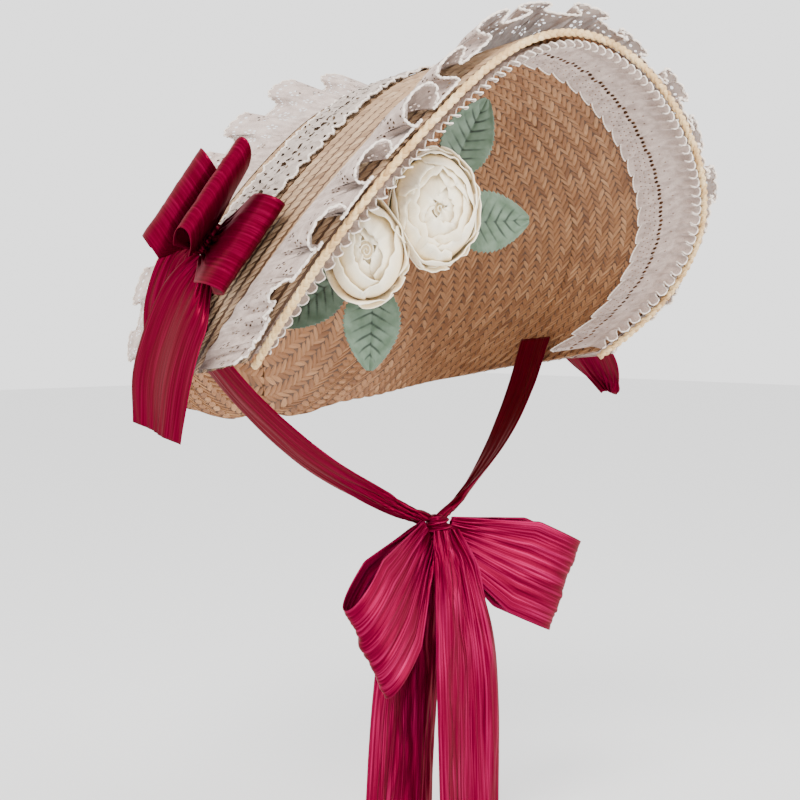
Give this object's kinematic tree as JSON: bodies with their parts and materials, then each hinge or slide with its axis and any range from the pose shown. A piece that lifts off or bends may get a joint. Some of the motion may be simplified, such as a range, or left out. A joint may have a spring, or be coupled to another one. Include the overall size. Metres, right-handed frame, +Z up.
{
  "type": "straw bonnet",
  "caption": "Deep-brimmed straw bonnet in its worn form, with lace ruffles, a crochet band, cloth roses, side bows and satin ribbon ties joined in a chin bow.",
  "frame": {"origin": "inner face of the hood above the top of the head, where the bonnet sits, 170 mm behind the top of the rim", "axes": "+Z up; the wearer looks along -Y; the wearer's left is +X"},
  "size_m": [0.394, 0.315, 0.5186],
  "materials": {
    "straw": "matt plaited straw",
    "rim": "pale twisted straw braid",
    "lace": "off-white cotton lace",
    "rose": "matt cream cloth",
    "leaf": "matt grey-green cloth",
    "satin": "crinkled crimson satin"
  },
  "bodies": {
    "root": {"straw_brim": "straw", "straw_crown": "straw", "rim_braid": "rim", "outer_ruffle": "lace", "crochet_band": "lace", "back_ruffle": "lace", "inner_ruffle": "lace", "rose_large": "rose", "rose_small": "rose", "leaf_1": "leaf", "leaf_2": "leaf", "leaf_3": "leaf", "leaf_4": "leaf", "leaf_5": "leaf", "right_bow_knot": "satin", "right_bow_loop_front": "satin", "right_bow_loop_middle": "satin", "right_bow_loop_back": "satin", "right_bow_tail_front": "satin", "right_bow_tail_back": "satin", "chin_tie_right": "satin", "left_bow_knot": "satin", "left_bow_loop_front": "satin", "left_bow_loop_middle": "satin", "left_bow_loop_back": "satin", "left_bow_tail_front": "satin", "left_bow_tail_back": "satin", "chin_tie_left": "satin", "chin_knot": "satin", "chin_loop_right": "satin", "chin_loop_left": "satin", "chin_tail_front": "satin", "chin_tail_back": "satin"}
  },
  "joints": []
}
